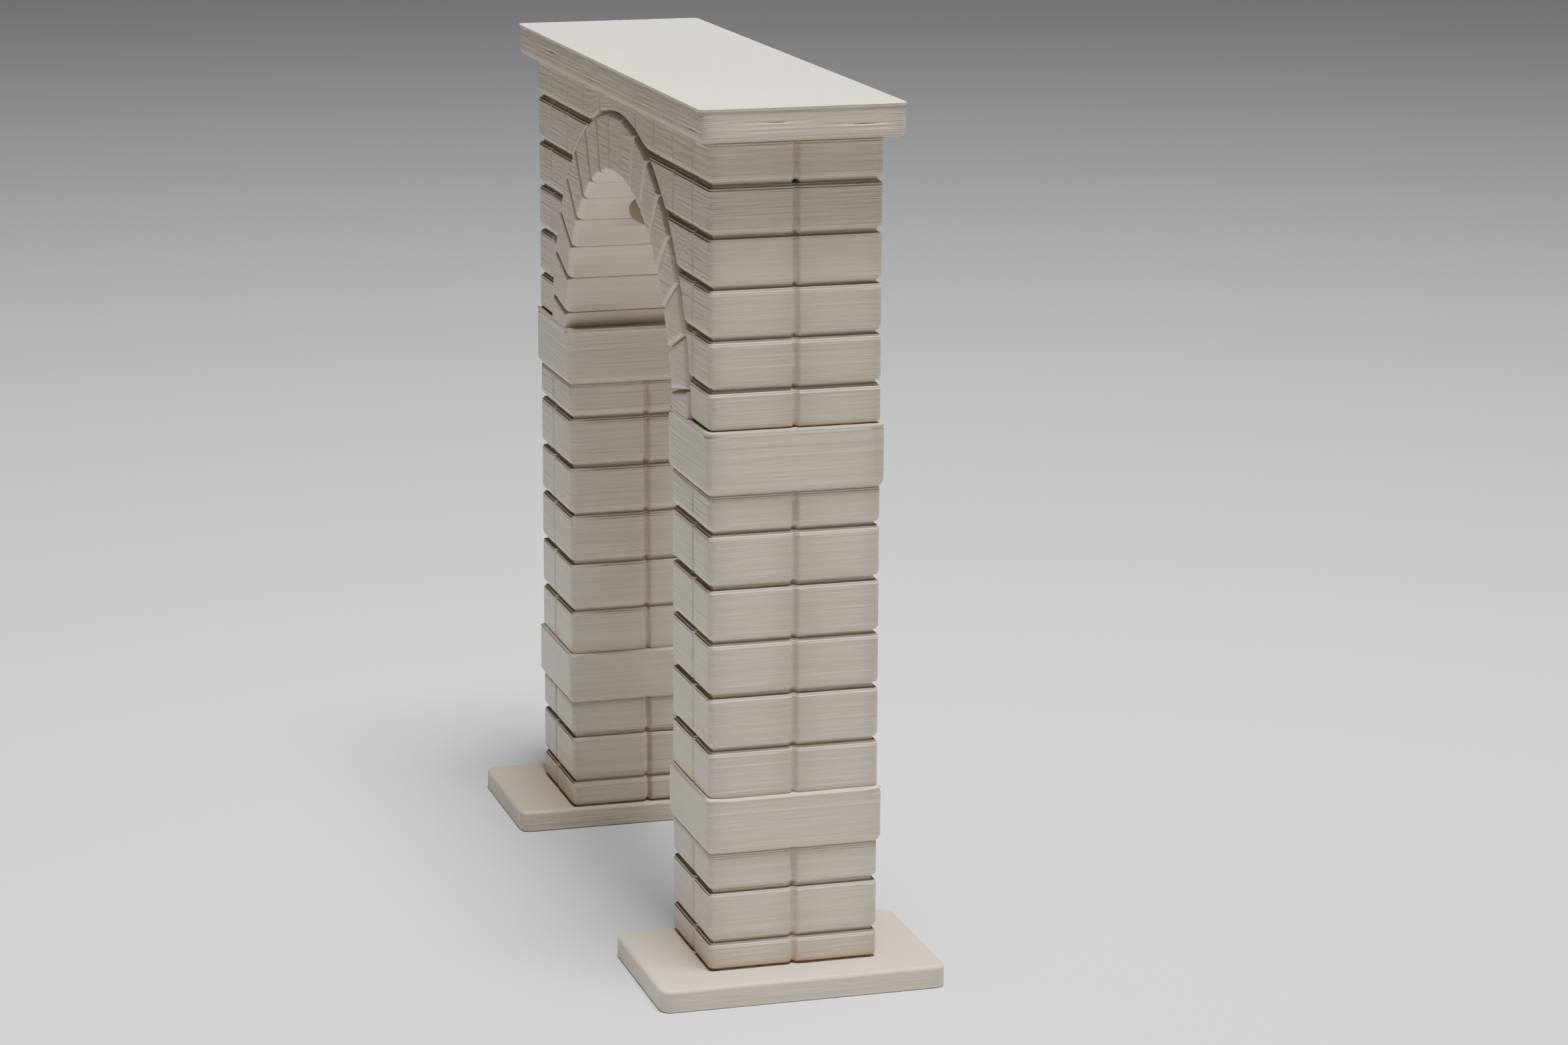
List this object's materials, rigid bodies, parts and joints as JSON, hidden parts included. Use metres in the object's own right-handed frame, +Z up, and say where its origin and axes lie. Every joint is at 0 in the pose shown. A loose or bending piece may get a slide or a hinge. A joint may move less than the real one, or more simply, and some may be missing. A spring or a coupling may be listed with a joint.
{
  "type": "model triumphal arch",
  "caption": "Plastic desk model of a triumphal arch: coursed piers on flat base plates, a ring of wedge stones, a coursed wall and a flat cap.",
  "frame": {"origin": "middle of the base on the table", "axes": "+X along the width towards the right pier, -Y out of the front, +Z up"},
  "size_m": [0.0744, 0.0274, 0.0827],
  "materials": {
    "filament": "printed in fine layers, satin"
  },
  "bodies": {
    "root": {"right_base_plate": "filament", "left_base_plate": "filament", "right_footing_course": "filament", "right_base_course": "filament", "right_plinth_course": "filament", "right_lower_band": "filament", "right_shaft_course_1": "filament", "right_shaft_course_2": "filament", "right_shaft_course_3": "filament", "right_shaft_course_4": "filament", "right_shaft_course_5": "filament", "right_shaft_course_6": "filament", "right_impost_band": "filament", "left_footing_course": "filament", "left_base_course": "filament", "left_plinth_course": "filament", "left_lower_band": "filament", "left_shaft_course_1": "filament", "left_shaft_course_2": "filament", "left_shaft_course_3": "filament", "left_shaft_course_4": "filament", "left_shaft_course_5": "filament", "left_shaft_course_6": "filament", "left_impost_band": "filament", "right_voussoirs": "filament", "keystone": "filament", "left_voussoirs": "filament", "right_wall_course_1": "filament", "right_wall_course_2": "filament", "right_wall_course_3": "filament", "right_wall_course_4": "filament", "right_wall_course_5": "filament", "left_wall_course_1": "filament", "left_wall_course_2": "filament", "left_wall_course_3": "filament", "left_wall_course_4": "filament", "left_wall_course_5": "filament", "top_course": "filament", "cap_slab": "filament"}
  },
  "joints": []
}
